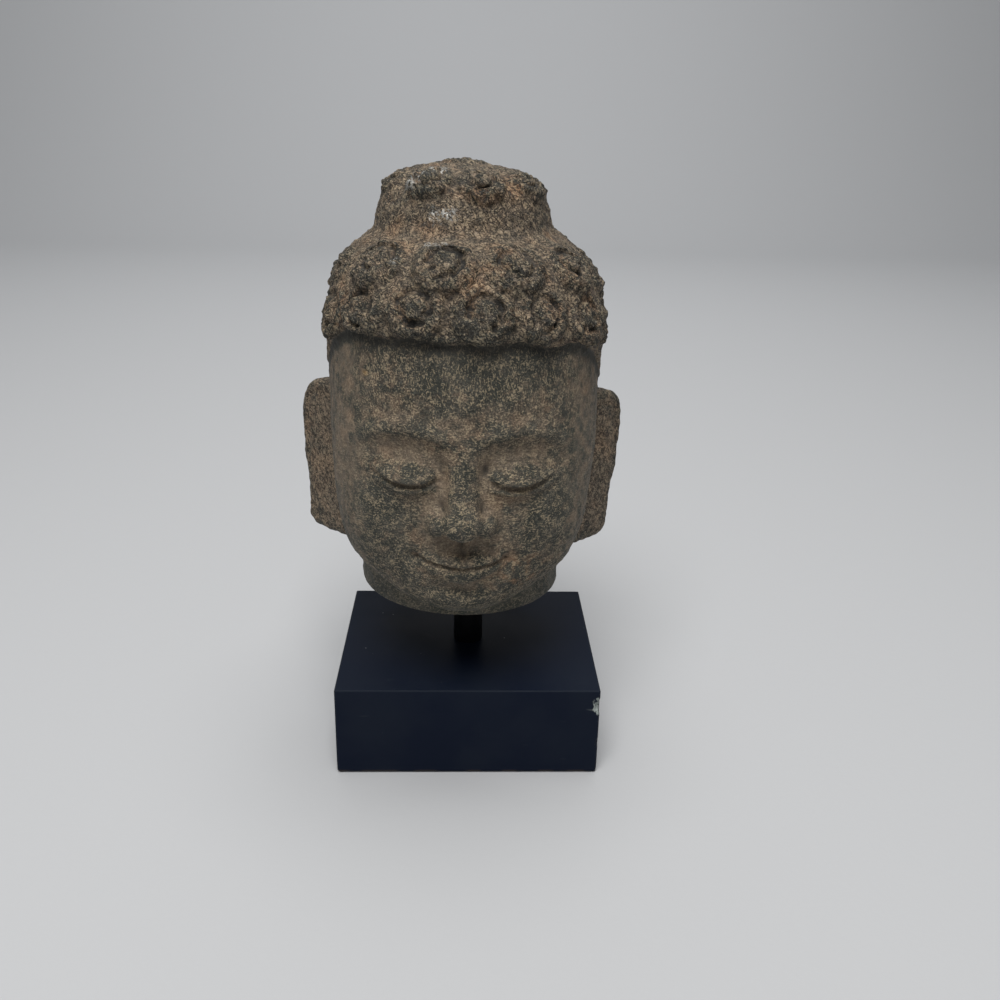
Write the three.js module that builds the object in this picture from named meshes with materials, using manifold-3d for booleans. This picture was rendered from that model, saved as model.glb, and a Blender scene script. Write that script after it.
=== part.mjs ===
// A carved stone head of the Buddha, held by a round black rod on a black painted block.
// Millimetres, +Z up, the face looks along -Y, the origin is the centre of the block's underside.
import * as THREE from "three";
import { mergeVertices } from "three/addons/utils/BufferGeometryUtils.js";
import Module from "manifold-3d";

const wasm = await Module();
wasm.setup();

// ---- driving dimensions ----
const GAP = 0.3;                      // between pieces that touch

const BLOCK_WIDTH = 102;
const BLOCK_DEPTH = 87.5;
const BLOCK_HEIGHT = 37.1;
const BLOCK_CORNER = 2;               // radius of the upright edges
const BLOCK_BEVEL = 0.7;              // of the top and bottom edges

const ROD_RADIUS = 5.9;
const ROD_DEPTH = 18;                 // how far each end goes into its socket

const NECK_CUT_Z = 64;                // height of the neck's flat cut above the table
const HEAD_X = -3.5;
const HEAD_Y = 5;
const HEAD_LEAN = 1.2;                // degrees, towards the figure's own left
const NECK_RADIUS = 40;

// heights in the head's own frame, above the neck's cut
const CHIN_Z = 7;
const HAIRLINE_Z = 109;
const FACE_HEIGHT = HAIRLINE_Z - CHIN_Z;
const BROW_Z = CHIN_Z + FACE_HEIGHT * 2 / 3;
const NOSE_Z = CHIN_Z + FACE_HEIGHT / 3;
const MOUTH_Z = CHIN_Z + FACE_HEIGHT * 2 / 9;
const EYE_Z = BROW_Z - (BROW_Z - NOSE_Z) * 0.36;
const SKULL_CENTRE = [0, -2, 98];
const SKULL_HALF_WIDTH = 49;
const SKULL_HALF_DEPTH = 55.5;
const SKULL_UP = 45;
const SKULL_DOWN = 66;
const HAIR_THICK = 3;

const TOPKNOT_CENTRE = [-2.5, -4];
const TOPKNOT_RADIUS = 31;
const TOPKNOT_Z = 144.5;              // where its rounded top begins
const TOPKNOT_TOP = 163;
const TOPKNOT_SUNK = 10;              // how far its drum goes down into the crown
const TOPKNOT_ROUNDNESS = 2.6;        // 2 would be an ellipse, more is squarer

const EAR_Y = 3;
const EAR_FLARE = 48;                 // degrees, how far its flat side is turned to the front
const EAR_THICK = 9.2;
const EAR_BEVEL = 1.8;
// the ears aren't a perfect pair: how far out each stands, how much it is lifted, and how far
// its top leans outwards for each millimetre of height
const EARS = [
  { side: -1, x: 52.6, lift: 0.5, lean: 0.02 },     // the figure's right ear
  { side: 1, x: 51.3, lift: -0.7, lean: 0.06 },     // its left ear
];

const FACE_COLUMNS = 56;
const FOREHEAD_ROWS = 4;
const FACE_ROWS = 19;                 // brows to chin, where the carving is finest
const JAW_ROWS = 3;
const HAIR_COLUMNS = 32;
const HAIR_ROWS = 8;

const DEG = Math.PI / 180;

// ---- shaping functions: each solid form is a distance, negative inside ----
const clamp = THREE.MathUtils.clamp;
const ramp = (t, a, b) => THREE.MathUtils.smoothstep(t, a, b);

function hump(t, width) {
  const s = Math.max(1 - (t / width) ** 2, 0);
  return s * s;
}

function bell(t, width) {
  return Math.exp(-((t / width) ** 2));
}

function smoothUnion(a, b, blend) {
  const h = Math.max(blend - Math.abs(a - b), 0) / blend;
  return Math.min(a, b) - h * h * blend * 0.25;
}

function ellipsoid([x, y, z], [cx, cy, cz], [rx, ry, rz]) {
  const [px, py, pz] = [x - cx, y - cy, z - cz];
  const k0 = Math.hypot(px / rx, py / ry, pz / rz);
  const k1 = Math.hypot(px / rx ** 2, py / ry ** 2, pz / rz ** 2);
  return k0 * (k0 - 1) / Math.max(k1, 1e-6);
}

// ---- the head's masses ----
function skull([x, y, z], grow) {
  const [px, py, pz] = [x - SKULL_CENTRE[0], y - SKULL_CENTRE[1], z - SKULL_CENTRE[2]];
  const roundness = 2.2;
  const across = Math.abs(px / (SKULL_HALF_WIDTH + grow)) ** roundness;
  const along = Math.abs(py / (SKULL_HALF_DEPTH + grow)) ** roundness;
  const plan = (across + along) ** (1 / roundness);
  const q = pz > 0 ? 2.6 : 2.2;
  const tall = (pz > 0 ? SKULL_UP : SKULL_DOWN) + grow;
  const size = (plan ** q + Math.abs(pz / tall) ** q) ** (1 / q);
  return Math.hypot(px, py, pz) * (1 - 1 / Math.max(size, 1e-6));
}

function neck([x, y, z]) {
  const edge = 2.5;
  const side = Math.hypot(x, y) - NECK_RADIUS + edge;
  const under = edge - z;
  const outside = Math.hypot(Math.max(side, 0), Math.max(under, 0));
  return Math.max(Math.min(Math.max(side, under), 0) + outside - edge, z - 60);
}

function jaw([x, y, z]) {
  const face = ellipsoid([x, y, z], [0, -21, 58], [48.5, 38.5, 54]);
  const cheek = ellipsoid([Math.abs(x), y, z], [20, -28, 38], [23, 22, 25]);
  const chin = ellipsoid([x, y, z], [0, -40, 21], [23, 16, 15]);
  return smoothUnion(smoothUnion(face, cheek, 10), chin, 12);
}

function nose([x, y, z]) {
  const side = Math.abs(x);
  const [rootY, rootZ] = [-55.5, BROW_Z + 1];
  const [dy, dz] = [-6.5, NOSE_Z + 7 - rootZ];
  const t = clamp(((y - rootY) * dy + (z - rootZ) * dz) / (dy * dy + dz * dz), 0, 1);
  const ridge = Math.hypot(x * 0.86, y - rootY - t * dy, z - rootZ - t * dz) - (3.6 + 1.7 * t);
  const tip = ellipsoid([x, y, z], [0, -63.6, NOSE_Z + 5.4], [6.4, 6, 5.2]);
  const wing = ellipsoid([side, y, z], [7.8, -58.5, NOSE_Z + 4.8], [4.6, 6.2, 4.8]);
  return smoothUnion(smoothUnion(ridge, tip, 4), wing, 2.2);
}

// how far the carving of brows, lowered lids, lips and cheeks stands out of the face
function faceRelief(x, z) {
  const side = Math.abs(x);
  const brow = BROW_Z + 4.5 - 7 * ((side - 20) / 20) ** 2;
  let out = 1.7 * hump(z - brow, 5) * ramp(side, 1, 8) * (1 - ramp(side, 32, 42));
  out -= 3.2 * hump(Math.hypot((side - 19) / 19, (z - EYE_Z - 4.5) / 10.5), 1);
  out -= 1.6 * bell(side - 8, 3.6) * bell(z - EYE_Z - 1.5, 6);
  out += 4.6 * hump(Math.hypot((side - 20) / 14.5, (z - EYE_Z) / 8.6), 1) ** 0.8;
  const alongEye = (side - 20) / 12.5;
  const onEye = Math.max(1 - alongEye ** 2, 0);
  const lidEdge = EYE_Z - 3.4 + 2.6 * alongEye ** 2 + 0.5 * alongEye;
  out -= 2.4 * hump(z - lidEdge, 3.4) * onEye ** 0.6;
  out += 1.2 * hump(z - lidEdge - 3, 2.6) * onEye;

  out += 2.6 * bell(side, 17) * bell(z - MOUTH_Z, 11);
  const corner = 15.5;
  const alongLip = Math.min(side / corner, 1);
  const parting = MOUTH_Z + 1.9 * alongLip ** 2.2 - 0.5 * hump(side, 5);
  const onLip = 1 - alongLip ** 2;
  const upper = clamp((z - parting) / Math.max(5.6 * onLip ** 0.6 - 1.1 * hump(side, 3), 0.3), 0, 1);
  const lower = clamp((parting - z) / Math.max(6.4 * onLip ** 0.6, 0.3), 0, 1);
  out += z > parting ? 2.9 * onLip ** 0.5 * (1 - upper ** 2) ** 0.7 : 0;
  out += z < parting ? 3.4 * onLip ** 0.5 * (1 - lower ** 2) ** 0.6 : 0;
  out -= 2.2 * hump(z - parting, 2.8) * (1 - ramp(side, corner - 2, corner + 3));

  out -= 1.8 * bell(side, 10) * bell(z - MOUTH_Z + 9.4, 2.8);
  out += 3 * bell(side, 11) * bell(z - CHIN_Z - 7, 6.5);
  out += 2.2 * bell(side - 27, 13) * bell(z - NOSE_Z - 5, 13);
  return out;
}

function face(p) {
  const [x, y, z] = p;
  const bare = smoothUnion(skull(p, 0), jaw(p), 12) - faceRelief(x, z) * ramp(-y, 18, 34);
  return smoothUnion(smoothUnion(bare, nose(p), 3.2), neck(p), 3);
}

// the hair's lower edge: level over the forehead, down to the ears, then down the nape
function hairlineHeight(turn) {
  const t = Math.abs(turn) / DEG;
  return HAIRLINE_Z - 18 * ramp(t, 42, 82) - 4 * ramp(t, 80, 95) - 54 * ramp(t, 108, 128);
}

function scalp(p) {
  return smoothUnion(skull(p, HAIR_THICK), neck(p) - HAIR_THICK, 6);
}

function topknot([x, y, z]) {
  const across = Math.hypot(x - TOPKNOT_CENTRE[0], y - TOPKNOT_CENTRE[1]);
  const up = Math.max(z - TOPKNOT_Z, 0);
  const q = TOPKNOT_ROUNDNESS;
  const size = ((across / TOPKNOT_RADIUS) ** q + (up / (TOPKNOT_TOP - TOPKNOT_Z)) ** q) ** (1 / q);
  const dome = Math.hypot(across, up) * (1 - 1 / Math.max(size, 1e-6));
  return Math.max(dome, TOPKNOT_Z - TOPKNOT_SUNK - z);
}

// the outermost distance from start, along a direction, at which a form ends
function reach(form, start, direction) {
  const at = (r) => form(start.map((c, i) => c + direction[i] * r));
  let outer = 110;
  while (outer > 1 && at(outer) > 0) outer -= Math.max(at(outer) * 0.5, 0.2);
  let inner = outer;
  outer += 1.2;
  for (let step = 0; step < 24; step++) {
    const middle = (inner + outer) / 2;
    if (at(middle) < 0) inner = middle;
    else outer = middle;
  }
  return inner;
}

// the point where the form ends along that direction
function along(start, direction, form) {
  const r = reach(form, start, direction);
  return start.map((c, i) => c + direction[i] * r);
}

// ---- from three.js geometry to solids and back ----
function solid(geometry, matrix = new THREE.Matrix4()) {
  const bare = geometry.clone().applyMatrix4(matrix);
  bare.deleteAttribute("normal");
  bare.deleteAttribute("uv");
  const merged = mergeVertices(bare, 1e-4);
  const vertProperties = new Float32Array(merged.attributes.position.array);
  const triVerts = new Uint32Array(merged.index.array);
  return new wasm.Manifold(new wasm.Mesh({ numProp: 3, vertProperties, triVerts }));
}

function geometryOf(body) {
  const mesh = body.getMesh();
  const geometry = new THREE.BufferGeometry();
  geometry.setAttribute("position", new THREE.BufferAttribute(mesh.vertProperties, 3));
  geometry.setIndex(new THREE.BufferAttribute(mesh.triVerts, 1));
  geometry.computeVertexNormals();
  return geometry;
}

function named(name, geometry, material) {
  const mesh = new THREE.Mesh(geometry, material);
  mesh.name = name;
  return mesh;
}

// an upright cylinder between two heights
function uprightCylinder(radius, low, high, sides) {
  const cylinder = new THREE.CylinderGeometry(radius, radius, high - low, sides);
  return cylinder.rotateX(Math.PI / 2).translate(0, 0, (low + high) / 2);
}

// ---- forms swept round from a point inside them, one vertex for each direction ----
function sweep(form, heart, columns, elevations, turnOf) {
  const rows = elevations(0).length - 1;
  const sphere = new THREE.SphereGeometry(1, columns, rows);
  for (let column = 0; column <= columns; column++) {
    const turn = turnOf(column % columns);
    elevations(turn).forEach((rise, row) => {
      const level = row === 0 || row === rows ? 0 : Math.cos(rise);
      const direction = [Math.sin(turn) * level, -Math.cos(turn) * level, Math.sin(rise)];
      sphere.attributes.position.setXYZ(row * (columns + 1) + column, ...along(heart, direction, form));
    });
  }
  return solid(sphere);
}

// equal steps from one elevation to another, without the last
function steps(from, to, count) {
  return Array.from({ length: count }, (_, i) => THREE.MathUtils.lerp(from, to, i / count));
}

const UP = Math.PI / 2;

// face, bare skull and neck: from under the hair down to the neck's rim, then the cut
function faceMass() {
  const heart = [0, -4, 66];
  const underHair = Math.atan2(HAIRLINE_Z + 1 - heart[2], SKULL_HALF_DEPTH);
  const brows = Math.atan2(BROW_Z + 6 - heart[2], SKULL_HALF_DEPTH);
  const elevations = (turn) => {
    const rim = -Math.atan2(heart[2] - 1.5, NECK_RADIUS - heart[1] * Math.cos(turn));
    const chin = rim * 0.82;
    return [
      ...steps(UP, underHair, 2),
      ...steps(underHair, brows, FOREHEAD_ROWS),
      ...steps(brows, chin, FACE_ROWS),
      ...steps(chin, rim, JAW_ROWS),
      ...steps(rim, -UP, 2),
      -UP,
    ];
  };
  // columns stand closer together over the face than over the back
  const turnOf = (column) => {
    const s = 2 * column / FACE_COLUMNS - 1;
    return Math.PI * (0.56 * s + 0.44 * s ** 3);
  };
  return sweep(face, heart, FACE_COLUMNS, elevations, turnOf);
}

// the hair: a cap of even thickness with a crisp lower edge
function hairMass() {
  const heart = [0, -2, HAIRLINE_Z + 4];
  const form = (p) => {
    const turn = Math.atan2(p[0], heart[1] - p[1]);
    return Math.max(scalp(p), hairlineHeight(turn) - p[2]);
  };
  const elevations = (turn) => {
    const edgeZ = hairlineHeight(turn);
    const level = [Math.sin(turn), -Math.cos(turn), 0];
    const edgeRadius = reach(scalp, [heart[0], heart[1], edgeZ], level) - 0.3;
    const edge = -Math.atan2(heart[2] - edgeZ, edgeRadius);
    const under = -Math.atan2(heart[2] - edgeZ, edgeRadius * 0.6);
    return [...steps(UP, edge, HAIR_ROWS), edge, under, -UP];
  };
  const turnOf = (column) => 2 * Math.PI * column / HAIR_COLUMNS;
  return sweep(form, heart, HAIR_COLUMNS, elevations, turnOf);
}

// ---- the topknot: a low drum with a rounded top ----
function topknotMass() {
  const arcSteps = 6;
  const foot = TOPKNOT_Z - TOPKNOT_SUNK;
  const profile = [new THREE.Vector2(0, foot), new THREE.Vector2(TOPKNOT_RADIUS, foot)];
  for (let step = 0; step <= arcSteps; step++) {
    const angle = step / arcSteps * Math.PI / 2;
    const across = TOPKNOT_RADIUS * Math.cos(angle) ** (2 / TOPKNOT_ROUNDNESS);
    const up = (TOPKNOT_TOP - TOPKNOT_Z) * Math.sin(angle) ** (2 / TOPKNOT_ROUNDNESS);
    profile.push(new THREE.Vector2(step === arcSteps ? 0 : across, TOPKNOT_Z + up));
  }
  const drum = new THREE.LatheGeometry(profile, 24).rotateX(Math.PI / 2);
  return solid(drum.translate(TOPKNOT_CENTRE[0], TOPKNOT_CENTRE[1], 0));
}

// ---- curls: low discs with a rolled rim round a knob, plain domes at the back ----
const CURL_HEIGHT = 2.5;
const CURL_DROOP = 5 * DEG;           // a curl's lower edge stands out further than its upper edge

function curlGeometry(radius, carved) {
  const domed = [[0, 1], [0.65, 0.8], [1, -0.4], [0, -1.6]];
  const rolled = [[0, 1.05], [0.38, 0.4], [0.7, 1.05], [1, -0.4], [0, -1.6]];
  const points = (carved ? rolled : domed).map(([r, h]) => new THREE.Vector2(r * radius, h * CURL_HEIGHT));
  return new THREE.LatheGeometry(points.reverse(), carved ? 8 : 6);
}

function curlMatrix(start, turn) {
  const form = (p) => smoothUnion(scalp(p), topknot(p), 2.5);
  const place = along(start, [Math.sin(turn), -Math.cos(turn), 0], form);
  const slope = [0, 1, 2].map((i) => {
    const ahead = place.map((c, k) => c + (k === i ? 0.5 : 0));
    const behind = place.map((c, k) => c - (k === i ? 0.5 : 0));
    return form(ahead) - form(behind);
  });
  const outward = new THREE.Vector3(...slope).normalize();
  const across = new THREE.Vector3(0, 0, 1).cross(outward).normalize();
  outward.applyAxisAngle(across, CURL_DROOP);
  const downward = across.clone().cross(outward);
  return new THREE.Matrix4().makeBasis(across, outward, downward).setPosition(...place);
}

// one row of curls: heights fall from the front to the back, by as much as fall
const CURL_ROWS = [
  { count: 16, first: 5, step: 22.5, height: 118.8, fall: 12, radius: 11.2 },
  { count: 12, first: 19, step: 30, height: 133.5, fall: 8, radius: 12 },
  { count: 8, first: 15, step: 45, height: 158.8, fall: 0, radius: 9.2, axis: TOPKNOT_CENTRE },
  { count: 5, first: 124, step: 28, height: 139, fall: 2, radius: 9.4 },
  { count: 5, first: 124, step: 28, height: 87, fall: 0, radius: 10 },
  { count: 4, first: 138, step: 28, height: 66, fall: 0, radius: 9.8 },
  { count: 4, first: 138, step: 28, height: 46, fall: 0, radius: 9.4 },
];
const CARVED_TURN = 92;               // curls further round than this, in degrees, are plain domes

function curls() {
  const made = [];
  for (const { count, first, step, height, fall, radius, axis = [0, -2] } of CURL_ROWS) {
    for (let i = 0; i < count; i++) {
      const turn = ((first + step * i + 180) % 360) - 180;
      const z = height - fall * ramp(Math.abs(turn), 12, 122);
      const carved = Math.abs(turn) < CARVED_TURN;
      made.push(solid(curlGeometry(radius, carved), curlMatrix([...axis, z], turn * DEG)));
    }
  }
  const crown = new THREE.Matrix4().makeRotationX(Math.PI / 2);
  crown.setPosition(...TOPKNOT_CENTRE, TOPKNOT_TOP - 0.4);
  made.push(solid(curlGeometry(9, false), crown));
  return made;
}

// ---- ears: long slabs with square lobes that run in to the neck, set at a slant ----
function earOutline() {
  const [middle, halfWidth, halfHeight, roundness] = [60.6, 13.2, 19.4, 2.6];
  const [lobeIn, lobeOut, lobeBottom, lobeCorner, waist] = [-19.9, 11.1, 17.6, 6, 44];
  const outline = new THREE.Shape();
  outline.moveTo(lobeIn, lobeBottom);
  outline.lineTo(lobeOut - lobeCorner, lobeBottom);
  outline.quadraticCurveTo(lobeOut, lobeBottom, lobeOut, lobeBottom + lobeCorner);
  outline.lineTo(lobeOut, waist);
  outline.quadraticCurveTo(halfWidth, waist + 8, halfWidth, middle);
  const arcSteps = 8;
  for (let step = 1; step <= arcSteps; step++) {
    const [c, s] = [Math.cos(step / arcSteps * Math.PI), Math.sin(step / arcSteps * Math.PI)];
    const across = halfWidth * Math.sign(c) * Math.abs(c) ** (2 / roundness);
    outline.lineTo(across, middle + halfHeight * Math.abs(s) ** (2 / roundness));
  }
  outline.lineTo(lobeIn, waist);
  return outline.getPoints(4);
}

function ear({ side, x, lift, lean }) {
  const inset = {
    bevelEnabled: true,
    bevelThickness: EAR_BEVEL,
    bevelSize: EAR_BEVEL,
    bevelOffset: -EAR_BEVEL,
    bevelSegments: 1,
  };
  const pivot = 60;
  const leant = earOutline().map((p) => new THREE.Vector2(side * (p.x + (p.y - pivot) * lean), p.y));
  const depth = EAR_THICK - 2 * EAR_BEVEL;
  const slab = new THREE.ExtrudeGeometry(new THREE.Shape(leant), { depth, ...inset });
  slab.translate(0, 0, -depth / 2);
  const hollow = new THREE.SphereGeometry(1, 10, 6).scale(6.4, 10.5, 1.6);
  hollow.translate(-2 * side, 58, EAR_THICK / 2);

  const flare = EAR_FLARE * DEG;
  const across = new THREE.Vector3(Math.sin(flare), side * Math.cos(flare), 0);
  const up = new THREE.Vector3(0, 0, 1);
  const outward = across.clone().cross(up);
  const place = new THREE.Matrix4().makeBasis(across, up, outward);
  place.setPosition(side * x, EAR_Y, lift);
  return solid(slab, place).subtract(solid(hollow, place));
}

// ---- the pieces ----
const stone = new THREE.MeshStandardMaterial({ color: 0x4c4538, roughness: 0.88, metalness: 0 });
const rodPaint = new THREE.MeshStandardMaterial({ color: 0x0d0f12, roughness: 0.45, metalness: 0.2 });
const blockPaint = new THREE.MeshStandardMaterial({ color: 0x1a2029, roughness: 0.42, metalness: 0 });

function stoneHead() {
  const leaning = new THREE.Group();
  leaning.position.set(HEAD_X, HEAD_Y, NECK_CUT_Z);
  leaning.rotation.y = HEAD_LEAN * DEG;
  leaning.updateMatrixWorld();

  let body = faceMass().add(hairMass()).add(topknotMass());
  for (const curl of curls()) body = body.add(curl);
  for (const placed of EARS) body = body.add(ear(placed));

  const top = NECK_CUT_Z + ROD_DEPTH + GAP;
  const socket = uprightCylinder(ROD_RADIUS + GAP, NECK_CUT_Z - 5, top, 20);
  body = body.subtract(solid(socket, leaning.matrixWorld.clone().invert()));
  leaning.add(named("stone_head", geometryOf(body), stone));
  return leaning;
}

function supportRod() {
  const low = BLOCK_HEIGHT - ROD_DEPTH;
  const rod = uprightCylinder(ROD_RADIUS, low, NECK_CUT_Z + ROD_DEPTH, 20);
  return named("support_rod", rod, rodPaint);
}

// a shallow bruise knocked out of the block, as a flattened ball
function bruise(x, y, z, [rx, ry, rz]) {
  return solid(new THREE.SphereGeometry(1, 8, 6).scale(rx, ry, rz).translate(x, y, z));
}

function baseBlock() {
  const [halfWidth, halfDepth] = [BLOCK_WIDTH / 2 - BLOCK_CORNER, BLOCK_DEPTH / 2 - BLOCK_CORNER];
  const plan = new THREE.Shape();
  plan.absarc(halfWidth, halfDepth, BLOCK_CORNER, 0, Math.PI / 2);
  plan.absarc(-halfWidth, halfDepth, BLOCK_CORNER, Math.PI / 2, Math.PI);
  plan.absarc(-halfWidth, -halfDepth, BLOCK_CORNER, Math.PI, Math.PI * 1.5);
  plan.absarc(halfWidth, -halfDepth, BLOCK_CORNER, Math.PI * 1.5, Math.PI * 2);
  const block = new THREE.ExtrudeGeometry(plan, {
    depth: BLOCK_HEIGHT - 2 * BLOCK_BEVEL,
    curveSegments: 3,
    bevelThickness: BLOCK_BEVEL,
    bevelSize: BLOCK_BEVEL,
    bevelOffset: -BLOCK_BEVEL,
    bevelSegments: 1,
  });
  block.translate(0, 0, BLOCK_BEVEL);
  const socket = uprightCylinder(ROD_RADIUS + GAP, BLOCK_HEIGHT - ROD_DEPTH - GAP, BLOCK_HEIGHT + 5, 20);

  const [edgeX, edgeY] = [BLOCK_WIDTH / 2, -BLOCK_DEPTH / 2];
  const body = solid(block)
    .subtract(solid(socket))
    .subtract(bruise(edgeX + 0.6, edgeY, BLOCK_HEIGHT - 6.5, [2.4, 2.2, 3.9]))
    .subtract(bruise(edgeX + 0.6, edgeY, BLOCK_HEIGHT - 23.5, [1.8, 1.8, 2.6]));
  return named("base_block", geometryOf(body), blockPaint);
}

const part = new THREE.Group();
part.add(stoneHead(), supportRod(), baseBlock());
export default part;
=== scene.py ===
import math

import bpy
import numpy as np
from mathutils import Matrix, Vector, noise


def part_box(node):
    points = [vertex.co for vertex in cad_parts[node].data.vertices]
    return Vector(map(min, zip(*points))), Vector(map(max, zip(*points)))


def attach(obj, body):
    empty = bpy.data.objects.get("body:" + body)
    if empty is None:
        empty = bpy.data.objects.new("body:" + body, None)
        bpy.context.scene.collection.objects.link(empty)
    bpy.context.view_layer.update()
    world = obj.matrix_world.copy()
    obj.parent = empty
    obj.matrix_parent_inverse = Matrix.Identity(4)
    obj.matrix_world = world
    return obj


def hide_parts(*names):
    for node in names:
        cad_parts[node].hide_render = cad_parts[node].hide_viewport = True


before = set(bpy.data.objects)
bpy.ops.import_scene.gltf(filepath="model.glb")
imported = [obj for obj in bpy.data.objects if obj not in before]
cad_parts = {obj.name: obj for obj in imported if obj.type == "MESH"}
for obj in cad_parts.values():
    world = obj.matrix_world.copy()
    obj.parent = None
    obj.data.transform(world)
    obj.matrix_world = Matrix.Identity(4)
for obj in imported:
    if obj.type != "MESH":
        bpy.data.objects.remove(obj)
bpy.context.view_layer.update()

MM = 0.001

# ---- The base block ----
# A plain rectangular block of hard board, sawn square, its arrises just broken with sandpaper,
# then sprayed with satin blue-black paint. Knocks have opened one upright edge down to the pale
# filler under the paint. It stands on its own underside.
BLOCK_LOW, BLOCK_HIGH = [np.array(corner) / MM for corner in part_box("base_block")]
ARRIS = 0.75                       # mm, how round the sawn edges are
WORN_FOOT = 1.5                    # mm, the bottom corners are rubbed rounder
COARSE_CUTS = (2.5, 2.5, 0.6)      # mm, between the skin's cuts across, in depth and in height
FINE_CUT, FINE_BAND = 0.3, 3.0     # mm, between the cuts near an edge, and how far in that goes
# knocks in the front right upright edge: height of the middle, half length, depth, all in mm
KNOCKS = [(30.4, 4.1, 1.7), (13.4, 2.6, 0.9), (22.0, 1.2, 0.35), (6.0, 1.6, 0.4)]
BARE_KNOCK = KNOCKS[0]
PAINT = (0.0056, 0.0092, 0.0205, 1)
PAINT_THIN = (0.016, 0.021, 0.030, 1)
FILLER = (0.36, 0.40, 0.38, 1)
SOILED_FILLER = (0.12, 0.13, 0.12, 1)
GRIME = (0.10, 0.075, 0.05, 1)
DUST = (0.42, 0.43, 0.45, 1)


def edge_spaced(low, high, coarse, fine, band):
    """Cuts along one side of a block: close together near both ends, wider in the middle."""
    near = np.arange(0, band, fine)
    middle = np.linspace(low + band, high - band, int((high - low - 2 * band) / coarse) + 1)
    return np.concatenate([low + near, middle, (high - near)[::-1]])


def box_skin(cuts):
    """A closed skin of quads over a box, from the cuts along its three sides."""
    index = {}
    points = []
    faces = []

    def corner(i, j, k):
        if (i, j, k) not in index:
            index[i, j, k] = len(points)
            points.append((cuts[0][i], cuts[1][j], cuts[2][k]))
        return index[i, j, k]

    last = [len(c) - 1 for c in cuts]
    for axis in range(3):
        one, two = (axis + 1) % 3, (axis + 2) % 3
        for end in (0, last[axis]):
            for a in range(last[one]):
                for b in range(last[two]):
                    ring = []
                    for da, db in ((0, 0), (1, 0), (1, 1), (0, 1)):
                        place = [0, 0, 0]
                        place[axis], place[one], place[two] = end, a + da, b + db
                        ring.append(corner(*place))
                    faces.append(ring if end else ring[::-1])
    return np.array(points), faces


def cloud(points, size, seed, stretch=(1, 1, 1)):
    """Smooth noise from -1 to 1 at each point, with lumps of the given size in mm."""
    spread = points / (size * np.array(stretch)) + seed * 31.7
    return np.array([noise.noise(p) for p in spread.tolist()])


def add_piece(name, points, faces, finish):
    """A smooth-shaded mesh, from points in mm, that rides with the object."""
    mesh = bpy.data.meshes.new(name)
    mesh.from_pydata((points * MM).tolist(), [], faces)
    mesh.shade_smooth()
    mesh.materials.append(finish.material)
    piece = bpy.data.objects.new(name, mesh)
    bpy.context.scene.collection.objects.link(piece)
    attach(piece, "root")
    return piece


def paint_values(piece, name, values):
    """Keeps one number for each point of the piece, for its finish to read."""
    layer = piece.data.attributes.new(name, "FLOAT", "POINT")
    layer.data.foreach_set("value", np.asarray(values, dtype=np.float32))


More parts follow.
